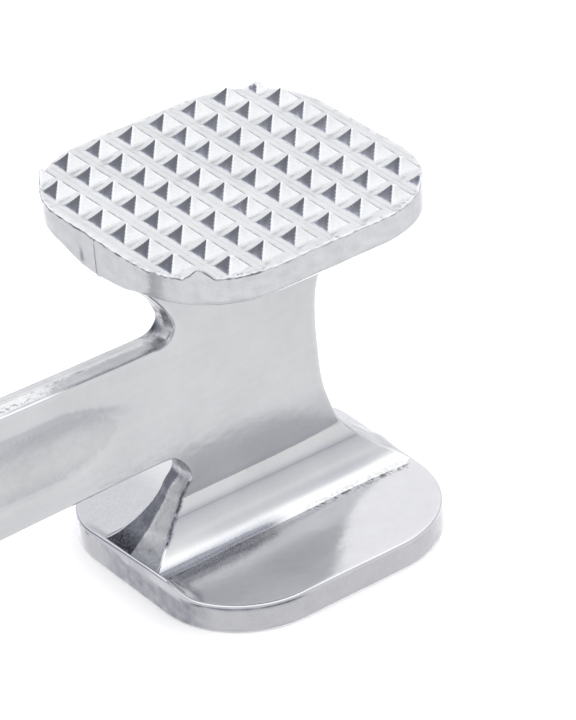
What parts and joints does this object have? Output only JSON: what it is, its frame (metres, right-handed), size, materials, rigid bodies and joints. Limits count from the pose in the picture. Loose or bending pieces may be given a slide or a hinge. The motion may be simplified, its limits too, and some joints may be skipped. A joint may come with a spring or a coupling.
{
  "type": "meat mallet",
  "caption": "Cast aluminium kitchen mallet: a square head with one pyramid-toothed face and one smooth face, joined by a thin waisted web that runs into a flat side handle.",
  "frame": {"origin": "centre of the smooth striking face, which lies in z = 0", "axes": "+Z from the smooth face to the toothed face, -X along the handle away from the head, y = 0 is the plane of symmetry and mould parting plane"},
  "size_m": [0.2346, 0.0572, 0.0739],
  "materials": {
    "toothed_strike_plate": "as-cast and tumbled, bright satin with shiny tooth edges",
    "smooth_strike_plate": "polished top with a linished rim",
    "web": "bright satin, polished in the saddles, rough on the parting ridges",
    "handle": "bright satin with polished long edges"
  },
  "bodies": {
    "root": {"toothed_strike_plate": "toothed_strike_plate", "smooth_strike_plate": "smooth_strike_plate", "web": "web", "handle": "handle"}
  },
  "joints": []
}
